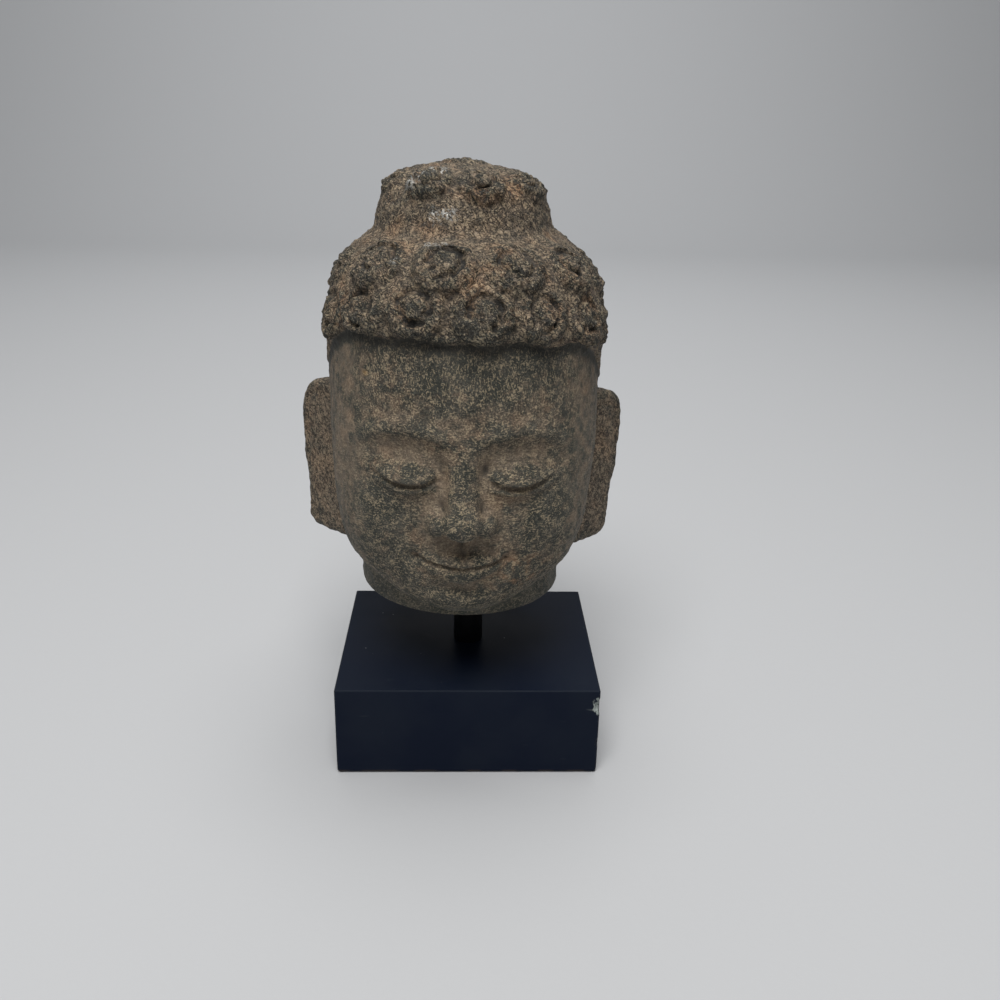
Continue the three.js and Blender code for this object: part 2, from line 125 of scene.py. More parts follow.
class Finish:
    """One surface finish, built up in layers of colour, gloss and relief."""

    def __init__(self, name):
        self.material = bpy.data.materials.new(name)
        self.material.use_nodes = True
        self.tree = self.material.node_tree
        self.shader = self.tree.nodes["Principled BSDF"]
        self.place = self.node("ShaderNodeTexCoord").outputs["Object"]

    def node(self, kind, inputs=None, **settings):
        node = self.tree.nodes.new(kind)
        for key, value in settings.items():
            setattr(node, key, value)
        for key, value in (inputs or {}).items():
            self.feed(node.inputs[key], value)
        return node

    def feed(self, socket, value):
        if isinstance(value, bpy.types.NodeSocket):
            self.tree.links.new(value, socket)
        else:
            socket.default_value = value

    def sum(self, operation, *values, clamp=False):
        node = self.node("ShaderNodeMath", dict(enumerate(values)), operation=operation, use_clamp=clamp)
        return node.outputs[0]

    def grain(self, size, stretch=(1, 1, 1), detail=2.0, rough=0.5, bend=0.0, shift=0.0, slant=0.0):
        """Noise from 0 to 1 with grains of the given size in mm, longer along a stretched axis.
        A slant in degrees turns the stretched axes, seen from the front."""
        turned = self.place
        if slant:
            turn = {"Vector": self.place, "Rotation": (0, math.radians(slant), 0)}
            turned = self.node("ShaderNodeMapping", turn).outputs[0]
        scale = [1 / (size * MM * s) for s in stretch]
        mapping = self.node("ShaderNodeMapping", {"Vector": turned, "Scale": scale, "Location": [shift] * 3})
        inputs = {"Vector": mapping.outputs[0], "Scale": 1.0,
                  "Detail": detail, "Roughness": rough, "Distortion": bend}
        return self.node("ShaderNodeTexNoise", inputs).outputs[0]

    def vein(self, size, stretch, shift, slant=0.0):
        """0 along winding lines through the surface, rising to either side."""
        noise = self.grain(size, stretch, detail=1.5, bend=0.7, shift=shift, slant=slant)
        return self.sum("ABSOLUTE", self.sum("SUBTRACT", noise, 0.5))

    def step(self, value, low, high):
        """0 below low, 1 above high, smooth between; the other way round when low is the larger."""
        inputs = {"Value": value, "From Min": low, "From Max": high}
        return self.node("ShaderNodeMapRange", inputs, interpolation_type="SMOOTHSTEP").outputs[0]

    def between(self, amount, none, full):
        """A number that goes from one value to another as the amount goes from 0 to 1."""
        inputs = {"Value": amount, "To Min": none, "To Max": full}
        return self.node("ShaderNodeMapRange", inputs).outputs[0]

    def over(self, under, colour, amount):
        """One colour laid over another, where the amount is 1."""
        node = self.node("ShaderNodeMix", {0: amount}, data_type="RGBA")
        colours = [socket for socket in node.inputs if socket.type == "RGBA"]
        self.feed(colours[0], under)
        self.feed(colours[1], colour)
        return next(socket for socket in node.outputs if socket.type == "RGBA")

    def value(self, name):
        return self.node("ShaderNodeAttribute", attribute_name=name).outputs["Fac"]

    def relief(self, height, depth, under=None, strength=1.0):
        """Shallow relief: height from 0 to 1 stands for a depth in mm."""
        inputs = {"Height": height, "Distance": depth * MM, "Strength": strength}
        if under is not None:
            inputs["Normal"] = under
        return self.node("ShaderNodeBump", inputs).outputs[0]

    def done(self, colour, roughness, normal, gloss=0.5):
        self.shader.inputs["Specular IOR Level"].default_value = gloss
        self.feed(self.shader.inputs["Base Color"], colour)
        self.feed(self.shader.inputs["Roughness"], roughness)
        self.feed(self.shader.inputs["Normal"], normal)


def block_points():
    centre, half = (BLOCK_LOW + BLOCK_HIGH) / 2, (BLOCK_HIGH - BLOCK_LOW) / 2
    cuts = [edge_spaced(BLOCK_LOW[i], BLOCK_HIGH[i], coarse, FINE_CUT, FINE_BAND)
            for i, coarse in enumerate(COARSE_CUTS)]
    points, faces = box_skin(cuts)
    # round every arris: pull the skin to a fixed distance from a smaller box inside
    height = points[:, 2] - BLOCK_LOW[2]
    radius = ARRIS + (WORN_FOOT - ARRIS) * np.clip(1 - height / 5, 0, 1)
    inner = np.clip(points - centre, -(half - radius[:, None]), half - radius[:, None])
    away = points - centre - inner
    reach = np.maximum(np.linalg.norm(away, axis=1), 1e-6)
    points = centre + inner + away * (radius / reach)[:, None]
    # a hand-sanded block is never quite flat
    ripple = 0.05 * cloud(points, 14, 1) - 0.05
    on_side = np.abs(points - centre) > half - 0.1
    points += np.sign(points - centre) * on_side * np.minimum(ripple, 0)[:, None]
    # knocks in the front right edge
    bare = np.zeros(len(points))
    across = (points[:, 0] - BLOCK_HIGH[0]) - (points[:, 1] - BLOCK_LOW[1])
    for middle, length, depth in KNOCKS:
        ragged = 1 + 0.35 * cloud(points, 1.6, 2) + 0.2 * cloud(points, 0.7, 3)
        along = np.clip(1 - np.abs((points[:, 2] - middle) / (length * ragged)) ** 2.5, 0, 1)
        cut_to = -depth * 1.5 * along * ragged
        bite = np.clip(across - cut_to, 0, None) * (along > 0)
        points[:, 0] -= bite * 0.62
        points[:, 1] += bite * 0.38
        if (middle, length, depth) == BARE_KNOCK:
            bare = np.clip(bite / 0.35, 0, 1)
    return points, faces, bare


def block_paint():
    paint = Finish("satin_black_paint")
    smudge = paint.step(paint.grain(26, detail=3), 0.35, 0.75)
    orange_peel = paint.grain(0.9, detail=1)
    speck = paint.step(paint.grain(1.5, detail=0, shift=5.3), 0.845, 0.88)
    fleck = paint.sum("MULTIPLY", speck, paint.step(paint.grain(9, detail=1, shift=2.2), 0.5, 0.62))
    scratch = paint.grain(0.55, stretch=(14, 9, 4), detail=0, shift=1.7)
    scratch = paint.sum("MULTIPLY", paint.step(scratch, 0.80, 0.86), smudge)
    colour = paint.over(PAINT, PAINT_THIN, paint.sum("MULTIPLY", smudge, 0.35))
    colour = paint.over(colour, DUST, paint.sum("MULTIPLY", fleck, 0.55))
    colour = paint.over(colour, PAINT_THIN, paint.sum("MULTIPLY", scratch, 0.9))
    colour = paint.over(colour, PAINT_THIN, paint.sum("MULTIPLY", paint.value("rubbed"), 0.8))
    foot = paint.sum("MULTIPLY", paint.value("foot"),
                     paint.step(paint.grain(7, detail=2, shift=3.1), 0.42, 0.6))
    colour = paint.over(colour, GRIME, paint.sum("MULTIPLY", foot, 0.75))
    bare = paint.value("bare")
    filler = paint.over(FILLER, SOILED_FILLER, paint.step(paint.grain(0.8, detail=2), 0.5, 0.7))
    colour = paint.over(colour, filler, bare)
    rough = paint.between(smudge, 0.40, 0.52)
    rough = paint.sum("ADD", rough, paint.sum("MULTIPLY", bare, 0.4), clamp=True)
    lumps = paint.relief(orange_peel, 0.012)
    crumbly = paint.relief(paint.grain(0.5), 0.25, paint.relief(bare, 0.2, lumps), strength=bare)
    paint.done(colour, rough, crumbly, gloss=0.07)
    return paint


def near_edge(points, low, high, width):
    """1 on the arrises of a box, fading to 0 at the given width from them."""
    inside = np.sort(np.minimum(points - low, high - points), axis=1)
    return np.clip(1 - inside[:, 1] / width, 0, 1)


points, faces, bare = block_points()
block = add_piece("painted_block", points, faces, block_paint())
paint_values(block, "bare", bare)
paint_values(block, "rubbed", near_edge(points, BLOCK_LOW, BLOCK_HIGH, 0.9))
paint_values(block, "foot", np.clip(1 - (points[:, 2] - BLOCK_LOW[2]) / 1.6, 0, 1))
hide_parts("base_block")

# ---- The rod ----
# A round steel bar, painted black with the block. Its lower end sits in a hole in the block and
# its upper end in a hole drilled up into the neck, so only the short length between them shows.
ROD_LOW, ROD_HIGH = [np.array(corner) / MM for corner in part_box("support_rod")]
ROD_RADIUS = (ROD_HIGH[0] - ROD_LOW[0]) / 2
ROD_SIDES = 72
END_BEVEL = 0.6
BAR_BLACK = (0.0020, 0.0022, 0.0030, 1)


def turned(profile, sides, centre):
    """A closed turned form from (radius, height) pairs that start and end on its axis."""
    turns = np.arange(sides) * 2 * math.pi / sides
    points = [(centre[0], centre[1], profile[0][1])]
    for radius, height in profile[1:-1]:
        points += [(centre[0] + radius * math.cos(t), centre[1] + radius * math.sin(t), height)
                   for t in turns]
    points.append((centre[0], centre[1], profile[-1][1]))
    rings = len(profile) - 2
    faces = []
    for side in range(sides):
        beyond = (side + 1) % sides
        faces.append((0, 1 + beyond, 1 + side))
        for ring in range(rings - 1):
            a, b = 1 + ring * sides, 1 + (ring + 1) * sides
            faces.append((a + side, a + beyond, b + beyond, b + side))
        top = 1 + (rings - 1) * sides
        faces.append((top + side, top + beyond, len(points) - 1))
    return np.array(points), faces


def bar_paint():
    paint = Finish("black_bar_paint")
    brushed = paint.grain(1.2, stretch=(1, 1, 8), detail=2)
    dust = paint.step(paint.grain(3, detail=3), 0.5, 0.8)
    colour = paint.over(BAR_BLACK, PAINT_THIN, paint.sum("MULTIPLY", dust, 0.25))
    paint.done(colour, paint.between(brushed, 0.36, 0.48), paint.relief(brushed, 0.03), gloss=0.15)
    return paint


def rod_profile():
    low, high = ROD_LOW[2], ROD_HIGH[2]
    straight = [(ROD_RADIUS, z) for z in np.linspace(low + END_BEVEL, high - END_BEVEL, 14)]
    rounded = ROD_RADIUS - END_BEVEL
    return [(0, low), (rounded, low)] + straight + [(rounded, high), (0, high)]


centre = (ROD_LOW + ROD_HIGH) / 2
points, faces = turned(rod_profile(), ROD_SIDES, centre)
rod = add_piece("steel_rod", points, faces, bar_paint())
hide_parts("support_rod")

# ---- The stone head ----
# One block of dark grey-green stone, carved in the round: face, long ears, rows of snail-shell
# curls, the topknot, and a neck sawn off flat. The skin is left from the tooth chisel, never
# polished, and handling has turned the high grain tan and rust over the dark stone.
# Sizes are in mm, in the head's own frame: its origin is the middle of the neck's flat cut.
HEAD_X, HEAD_Y = -3.5, 5.0
NECK_CUT_Z = 64.0
HEAD_LEAN = math.radians(1.2)
HEAD_PLACE = Matrix.Translation((HEAD_X, HEAD_Y, NECK_CUT_Z)) @ Matrix.Rotation(HEAD_LEAN, 4, "Y")
PITCH = 0.82                       # of the grid that the carving is cut from
MOST_FACES = 196000

NECK_RADIUS = 40.0
CHIN_Z = 7.0
HAIRLINE_Z = 109.0
FACE_HEIGHT = HAIRLINE_Z - CHIN_Z
BROW_Z = CHIN_Z + FACE_HEIGHT * 2 / 3
NOSE_Z = CHIN_Z + FACE_HEIGHT / 3
MOUTH_Z = CHIN_Z + FACE_HEIGHT * 2 / 9
EYE_Z = BROW_Z - (BROW_Z - NOSE_Z) * 0.36
HAIR_THICK = 3.0
TOPKNOT_X, TOPKNOT_Y, TOPKNOT_RADIUS = -2.5, -4.0, 31.0
TOPKNOT_Z, TOPKNOT_TOP = 144.5, 163.0
TOPKNOT_FOOT = 3.5                 # how softly it grows out of the hair below


def hump(t, width):
    """1 in the middle, falling to 0 at the width on either side."""
    return np.clip(1 - (t / width) ** 2, 0, 1) ** 2


def bell(t, width):
    return np.exp(-((t / width) ** 2))


def ramp(t, start, end):
    s = np.clip((t - start) / (end - start), 0, 1)
    return s * s * (3 - 2 * s)


def join(a, b, blend):
    """Two forms as one, with a rounded hollow of the given size where they meet."""
    h = np.maximum(blend - np.abs(a - b), 0) / blend
    return np.minimum(a, b) - h * h * blend / 4


def trim(a, b, blend):
    """What two forms have in common, with a rounded edge."""
    return -join(-a, -b, blend)


def egg(x, y, z, centre, radii):
    px, py, pz = x - centre[0], y - centre[1], z - centre[2]
    k0 = np.sqrt((px / radii[0]) ** 2 + (py / radii[1]) ** 2 + (pz / radii[2]) ** 2)
    k1 = np.sqrt((px / radii[0] ** 2) ** 2 + (py / radii[1] ** 2) ** 2 + (pz / radii[2] ** 2) ** 2)
    return k0 * (k0 - 1) / np.maximum(k1, 1e-6)


def skull(x, y, z, grow=0.0):
    half_width, half_depth, up, down = 51.1, 55.5, 45.0, 66.0
    px, py, pz = x + 0.8, y + 2, z - 98
    plan = (np.abs(px / (half_width + 0.2 * grow)) ** 2.2
            + np.abs(py / (half_depth + grow)) ** 2.2) ** (1 / 2.2)
    q = np.where(pz > 0, 2.6, 2.2)
    tall = np.where(pz > 0, up, down) + grow
    size = (plan**q + np.abs(pz / tall) ** q) ** (1 / q)
    return np.sqrt(px * px + py * py + pz * pz) * (1 - 1 / np.maximum(size, 1e-6))


def neck(x, y, z):
    edge = 2.5
    side, under = np.hypot(x, y) - NECK_RADIUS + edge, edge - z
    rounded = np.hypot(np.maximum(side, 0), np.maximum(under, 0)) - edge
    return np.maximum(np.minimum(np.maximum(side, under), 0) + rounded, z - 60)


def nose(x, y, z):
    side = np.abs(x)
    root_y, root_z = -55.5, BROW_Z + 1
    dy, dz = -6.5, NOSE_Z + 7 - root_z
    t = np.clip(((y - root_y) * dy + (z - root_z) * dz) / (dy * dy + dz * dz), 0, 1)
    ridge = np.sqrt((x * 0.86) ** 2 + (y - root_y - t * dy) ** 2 + (z - root_z - t * dz) ** 2) - 3.6 - 1.7 * t
    tip = egg(x, y, z, (0, -63.6, NOSE_Z + 5.4), (6.4, 6.0, 5.2))
    wing = egg(side, y, z, (7.8, -58.5, NOSE_Z + 4.8), (4.6, 6.2, 4.8))
    nostril = egg(side, y, z, (4.2, -62.0, NOSE_Z + 0.2), (2.3, 3.2, 2.2))
    return trim(join(join(ridge, tip, 4), wing, 2.2), -nostril, 1)


def face_relief(x, z):
    """How far the brows, lowered lids, lips and cheeks stand out of the face."""
    side = np.abs(x)
    brow = BROW_Z + 4.5 - 7 * ((side - 20) / 20) ** 2
    out = 1.7 * hump(z - brow, 5) * ramp(side, 1, 8) * (1 - ramp(side, 32, 42))
    out -= 2.5 * hump(np.hypot((side - 19) / 19, (z - EYE_Z - 4.5) / 10.5), 1)
    out -= 1.6 * bell(side - 8, 3.6) * bell(z - EYE_Z - 1.5, 6)
    out += 4.6 * hump(np.hypot((side - 20) / 14.5, (z - EYE_Z) / 8.6), 1) ** 0.8
    along_eye = (side - 20) / 12.5
    on_eye = np.clip(1 - along_eye**2, 0, 1)
    lid_edge = EYE_Z - 3.4 + 2.6 * along_eye**2 + 0.5 * along_eye
    out -= 1.5 * hump(z - lid_edge, 1.5) * on_eye**0.6
    out += 0.9 * hump(z - lid_edge - 2, 2) * on_eye
    out += 0.7 * hump(z - lid_edge + 2.2, 1.8) * on_eye
    out -= 0.8 * hump(z - EYE_Z - 5.4 + 3.6 * along_eye**2, 1.5) * on_eye**0.7

    out += 2.6 * bell(side, 17) * bell(z - MOUTH_Z, 11)
    out -= 1.0 * hump(side, 2.6) * hump(z - NOSE_Z + 3.8, 4.4)
    corner = 15.5
    along_lip = np.clip(side / corner, 0, 1)
    parting = MOUTH_Z + 1.9 * along_lip**2.2 - 0.5 * hump(side, 5)
    on_lip = 1 - along_lip**2
    upper = (z - parting) / np.maximum(5.6 * on_lip**0.6 - 1.1 * hump(side, 3), 0.3)
    lower = (parting - z) / np.maximum(6.4 * on_lip**0.6, 0.3)
    out += 2.9 * on_lip**0.5 * np.clip(1 - upper**2, 0, 1) ** 0.7 * (upper >= 0)
    out += 3.4 * on_lip**0.5 * np.clip(1 - lower**2, 0, 1) ** 0.6 * (lower > 0)
    out -= 1.8 * hump(z - parting, 1.4) * (1 - ramp(side, corner - 2, corner + 3))
    out -= 1.4 * bell(side - corner - 1.5, 3.2) * bell(z - MOUTH_Z - 1.9, 3)
    out -= 1.8 * bell(side, 10) * bell(z - MOUTH_Z + 9.4, 2.8)
    out += 3.0 * bell(side, 11) * bell(z - CHIN_Z - 7, 6.5)
    out += 2.2 * bell(side - 27, 13) * bell(z - NOSE_Z - 5, 13)
    return out


def skin(x, y, z):
    """The bare head and neck, without hair or ears."""
    cheeks = join(egg(x, y, z, (0, -21, 58), (48.5, 38.5, 54)),
                  egg(np.abs(x), y, z, (20, -28, 38), (23, 22, 25)), 10)
    jaw = join(cheeks, egg(x, y, z, (0, -40, 21), (23, 16, 15)), 12)
    front = join(skull(x, y, z), jaw, 12) - face_relief(x, z) * ramp(-y, 18, 34)
    return join(join(front, nose(x, y, z), 3.2), neck(x, y, z), 3)


def scalp(x, y, z):
    return join(skull(x, y, z, HAIR_THICK), neck(x, y, z) - HAIR_THICK, 6)


def topknot(x, y, z):
    """A low drum with a rounded top."""
    flare = 0.15 * np.clip(TOPKNOT_Z + 6 - z, 0, 8)
    across = np.maximum(np.hypot(x - TOPKNOT_X, y - TOPKNOT_Y) - flare, 0)
    up = np.maximum(z - TOPKNOT_Z, 0)
    size = ((across / TOPKNOT_RADIUS) ** 2.4 + (up / (TOPKNOT_TOP - TOPKNOT_Z)) ** 2.4) ** (1 / 2.4)
    return np.maximum(np.hypot(across, up) * (1 - 1 / np.maximum(size, 1e-6)), TOPKNOT_Z - 11 - z)


def hair_edge(x, y):
    """Height of the hair's lower edge: level over the forehead, down to the ears and the nape."""
    turn = np.degrees(np.arctan2(np.abs(x), -(y + 2)))
    fall = 20 * ramp(turn, 46, 84) + 2 * ramp(turn, 80, 95) + 54 * ramp(turn, 108, 128)
    return HAIRLINE_Z - fall - 2.5 * ramp(x, 10, 45) + 0.7 * np.cos(np.radians(turn * 16 + 60))


# Curls in rows round the head: how many, the first one's turn from the front in degrees, the
# step between them, the row's height, how far it falls by the back, the curls' radius, and how
# far they stand out next to the lowest row's.
CURL_ROWS = [
    (16, 5, 22.5, 118.8, 12, 11.4, 1.0),
    (12, 19, 30, 133.5, 8, 12.2, 1.15),
    (5, 124, 28, 139, 2, 9.5, 0.7),
    (5, 124, 28, 87, 0, 10.2, 0.9),
    (4, 138, 28, 66, 0, 10.0, 0.9),
    (4, 138, 28, 46, 0, 9.6, 0.9),
]
TOPKNOT_ROW = (8, 15, 45, 158.0, 0, 9.2, 1.1)
CURL_RELIEF = 2.5
CURL_DROOP = 1.5                   # how much further a curl's lower edge stands out
GROOVE_DEPTH = 1.9
GROOVE_HALF_WIDTH = 0.15           # of the curl's radius, as are the next two
GROOVE_START, GROOVE_PITCH = 0.36, 0.18


def at(form, point):
    return float(form(*[np.array([c]) for c in point])[0])


def level_hit(form, x, y, z, turn):
    """Where a level line from the head's axis, a turn from the front, comes out of a form."""
    way = np.array([math.sin(turn), -math.cos(turn), 0.0])
    near, far = 0.0, 90.0
    for _ in range(30):
        middle = (near + far) / 2
        if at(form, np.array([x, y, z]) + way * middle) < 0:
            near = middle
        else:
            far = middle
    return np.array([x, y, z]) + way * near


def hair_mass(x, y, z):
    return join(scalp(x, y, z), topknot(x, y, z), TOPKNOT_FOOT)


def curl_places():
    """Each curl's centre and three directions, its radius and relief, and its groove: where it
    starts, how often it winds round, and which way."""
    chance = np.random.default_rng(7)
    places = []
    for row in CURL_ROWS + [TOPKNOT_ROW]:
        count, first, step, height, fall, radius, relief = row
        axis = (TOPKNOT_X, TOPKNOT_Y) if row is TOPKNOT_ROW else (0.0, -2.0)
        for i in range(count):
            turn = (first + step * i + 180) % 360 - 180 + chance.uniform(-1.0, 1.0)
            z = height - fall * float(ramp(abs(turn), 12, 122)) + chance.uniform(-0.6, 0.6)
            centre = level_hit(hair_mass, *axis, z, math.radians(turn))
            slope = [at(hair_mass, centre + d) - at(hair_mass, centre - d) for d in np.eye(3) * 0.5]
            out = np.array(slope) / np.linalg.norm(slope)
            across = np.cross((0, 0, 1), out)
            across /= np.linalg.norm(across)
            up = np.cross(out, across)
            groove = (chance.uniform(0, 1), chance.uniform(1.0, 1.4), chance.choice([-1, 1]))
            worn = relief * (1 - 0.4 * float(ramp(abs(turn), 52, 75)))
            places.append((centre, across, up, out, radius * chance.uniform(0.94, 1.05), worn, groove))
    crown = np.array([TOPKNOT_X, TOPKNOT_Y, TOPKNOT_TOP])
    places.append((crown, *np.eye(3), 9.0, 0.5, (0.2, 1.3, 1)))
    return places


CURLS = curl_places()


def curl_relief(x, y, z):
    """How far the curls stand out of the hair at each point."""
    stands_out = np.zeros_like(x)
    for centre, across, up, out, radius, relief, (start, rounds, way) in CURLS:
        dx, dy, dz = x - centre[0], y - centre[1], z - centre[2]
        near = dx * dx + dy * dy + dz * dz < (radius * 1.3) ** 2
        if not near.any():
            continue
        offset = np.stack([dx[near], dy[near], dz[near]], axis=-1)
        u, v = offset @ across, offset @ up
        rho = np.hypot(u, v) / radius
        steep = 5 - 3 * np.clip(v / radius, -1, 1)
        height = (CURL_RELIEF - CURL_DROOP * v / radius) * (1 - np.minimum(rho, 1) ** steep)
        wound = (way * np.arctan2(v, u) / (2 * math.pi) + start) % 1
        for lap in (wound, wound + 1):
            groove = hump(rho - GROOVE_START - GROOVE_PITCH * lap, GROOVE_HALF_WIDTH)
            height -= GROOVE_DEPTH * groove * ramp(lap, 0, 0.2) * (1 - ramp(lap, rounds - 0.2, rounds))
        stands_out[near] = -join(-stands_out[near], -relief * height, 0.6)
    return stands_out


def hair(x, y, z):
    """The curled mass, cut off along the hair's lower edge."""
    behind = ramp(np.degrees(np.arctan2(np.abs(x), -(y + 2))), 90, 108)
    return trim(hair_mass(x, y, z) - curl_relief(x, y, z), (hair_edge(x, y) - z) * (0.95 - 0.5 * behind), 2.5)


# The ears aren't a perfect pair: which side, how far out from the middle, how much it is lifted,
# and how much its top leans outwards.
EARS = [(-1, 52.6, 0.5, 0.02), (1, 51.3, -0.7, 0.06)]
EAR_Y = 3.0
EAR_FLARE = math.radians(48)       # how far its flat side is turned to the front
EAR_HALF_THICK, EAR_EDGE = 4.6, 2.8


def ear(x, y, z, side, ear_x, lift, lean):
    """A long slab with a square lobe that runs in to the neck."""
    px, py, v = side * x - ear_x, y - EAR_Y, z - lift
    across = py * math.cos(EAR_FLARE) + px * math.sin(EAR_FLARE) - (v - 60) * lean
    out = px * math.cos(EAR_FLARE) - py * math.sin(EAR_FLARE)
    size = (np.abs(across / 13.2) ** 2.6 + np.abs((v - 60.6) / 19.4) ** 2.6) ** (1 / 2.6)
    shell = np.hypot(across, v - 60.6) * (1 - 1 / np.maximum(size, 1e-6))
    lobe_u, lobe_v = np.abs(across + 4.4) - 9.3, np.abs(v - 34.8) - 11.0
    lobe = (np.hypot(np.maximum(lobe_u, 0), np.maximum(lobe_v, 0))
            + np.minimum(np.maximum(lobe_u, lobe_v), 0) - 6.2)
    outline = join(shell, lobe, 8)
    a, b = outline + EAR_EDGE, np.abs(out) - EAR_HALF_THICK + EAR_EDGE
    slab = np.minimum(np.maximum(a, b), 0) + np.hypot(np.maximum(a, 0), np.maximum(b, 0)) - EAR_EDGE
    cut = 1.2 * hump(np.hypot((across + 2) / 6.4, (v - 58) / 10.5), 1)
    cut += 0.6 * hump(outline + 4.6, 2.0) * ramp(v, 48, 60)
    return slab + np.where(out > 0, cut, 0)


def ears(x, y, z):
    return np.minimum(*[ear(x, y, z, *placed) for placed in EARS])


def head_form(x, y, z):
    """The whole carving as one form: negative inside the stone, 0 on its surface."""
    return join(np.minimum(skin(x, y, z), hair(x, y, z)), ears(x, y, z), 3)


def sample(form, low, high, pitch):
    """The form's value on a grid, worked out finely only near the surface."""
    ratio = 4
    counts = [int(math.ceil((high[i] - low[i]) / (pitch * ratio))) for i in range(3)]
    coarse_axes = [low[i] + pitch * ratio * (np.arange(counts[i]) + 0.5) - pitch / 2 for i in range(3)]
    coarse = form(*np.meshgrid(*coarse_axes, indexing="ij"))
    cube = np.ones((ratio, ratio, ratio))
    values = np.kron(coarse, cube)
    near = np.kron(np.abs(coarse) < pitch * ratio * 1.9, cube) > 0
    spots = np.argwhere(near)
    values[near] = form(*[low[i] + pitch * spots[:, i] for i in range(3)])
    return values


def net(values, low, pitch):
    """A skin of quads round the negative part of a grid of values."""
    inside = values < 0
    cells = tuple(n - 1 for n in values.shape)
    total = np.zeros(cells + (3,), np.float32)
    hits = np.zeros(cells, np.int16)
    rings = []
    for axis in range(3):
        one, two = (axis + 1) % 3, (axis + 2) % 3
        here, there = [slice(None)] * 3, [slice(None)] * 3
        here[axis], there[axis] = slice(0, -1), slice(1, None)
        a, b = values[tuple(here)], values[tuple(there)]
        crossed = inside[tuple(here)] != inside[tuple(there)]
        spots = np.argwhere(crossed)
        a, b = a[crossed], b[crossed]
        points = spots.astype(np.float32)
        points[:, axis] += a / (a - b)
        ring = []
        for back_one, back_two in ((0, 0), (1, 0), (1, 1), (0, 1)):
            cell = spots.copy()
            cell[:, one] -= back_one
            cell[:, two] -= back_two
            np.add.at(total, tuple(cell.T), points)
            np.add.at(hits, tuple(cell.T), 1)
            ring.append(cell)
        ring = np.stack(ring, 1)
        ring[a > 0] = ring[a > 0][:, ::-1]
        rings.append(ring)
    used = hits > 0
    names = np.full(cells, -1)
    names[used] = np.arange(used.sum())
    points = total[used] / hits[used][:, None] * pitch + np.array(low)
    rings = np.concatenate(rings)
    return points, names[rings[..., 0], rings[..., 1], rings[..., 2]]


def slopes(form, points):
    """The form's value at each point and the way it rises there."""
    step = 0.15
    rise = np.empty_like(points)
    for i in range(3):
        nudge = np.eye(3)[i] * step
        rise[:, i] = (form(*(points + nudge).T) - form(*(points - nudge).T)) / (2 * step)
    return form(*points.T), rise


def settle(form, points, rounds=2, most=0.6):
    """Moves the points onto the surface of the form."""
    for _ in range(rounds):
        value, rise = slopes(form, points)
        move = (value / np.maximum((rise**2).sum(1), 0.05))[:, None] * rise
        length = np.linalg.norm(move, axis=1, keepdims=True)
        points = points - move * np.minimum(1, most / np.maximum(length, 1e-9))
    return points, rise / np.maximum(np.linalg.norm(rise, axis=1, keepdims=True), 1e-6)


BORE_SLACK = 0.4                   # how much wider and deeper than the rod the hole is drilled
BORE_CENTRE = centre[:2] - (HEAD_X, HEAD_Y)
BORE_RADIUS = ROD_RADIUS + BORE_SLACK
BORE_TOP = ROD_HIGH[2] - NECK_CUT_Z + BORE_SLACK


def carving(x, y, z):
    """The head, with the rod's hole drilled up into its neck."""
    hole = np.maximum(np.hypot(x - BORE_CENTRE[0], y - BORE_CENTRE[1]) - BORE_RADIUS, z - BORE_TOP)
    return np.maximum(head_form(x, y, z), -hole)


def tooling(points, out, hair_share):
    """Moves the carved skin in and out as the tooth chisel and wear left it."""
    rise = 0.40 * cloud(points, 17, 1) + 0.28 * cloud(points, 8, 2)
    rough = 0.6 + 0.4 * hair_share
    rise += rough * (0.42 * cloud(points, 3.0, 3) + 0.40 * cloud(points, 1.75, 4))
    rise -= 0.9 * np.clip(cloud(points, 4.0, 5) - 0.32, 0, 1) * rough
    # the rolls of the curls are lumpy, with deep creases between the lumps
    roll = ramp(curl_relief(*points.T), 0.4, 1.5) * hair_share
    rise += roll * (1.6 * np.abs(cloud(points, 3.6, 6)) + 0.9 * np.abs(cloud(points, 2.2, 7)) - 0.5)
    sawn = ramp(points[:, 2], 0.2, 3.0)
    return points + out * ((rise - 0.25) * sawn)[:, None]


def hair_at(points):
    """1 on the hair and topknot, 0 on the bare skin and the ears."""
    x, y, z = points.T
    return ramp(np.minimum(skin(x, y, z), ears(x, y, z)) - hair(x, y, z), -0.5, 0.7)


def ear_at(points):
    x, y, z = points.T
    return ramp(skin(x, y, z) - ears(x, y, z), 0.5, 3.0)


def neighbour_means(points, edges, rounds):
    """Each point's place after the whole skin is smoothed a number of times."""
    count = len(points)
    links = np.bincount(edges.ravel(), minlength=count)[:, None]
    places = points.copy()
    for _ in range(rounds):
        total = np.empty_like(places)
        for i in range(3):
            ends = places[edges, i]
            total[:, i] = (np.bincount(edges[:, 0], ends[:, 1], count)
                           + np.bincount(edges[:, 1], ends[:, 0], count))
        places = total / links
    return places


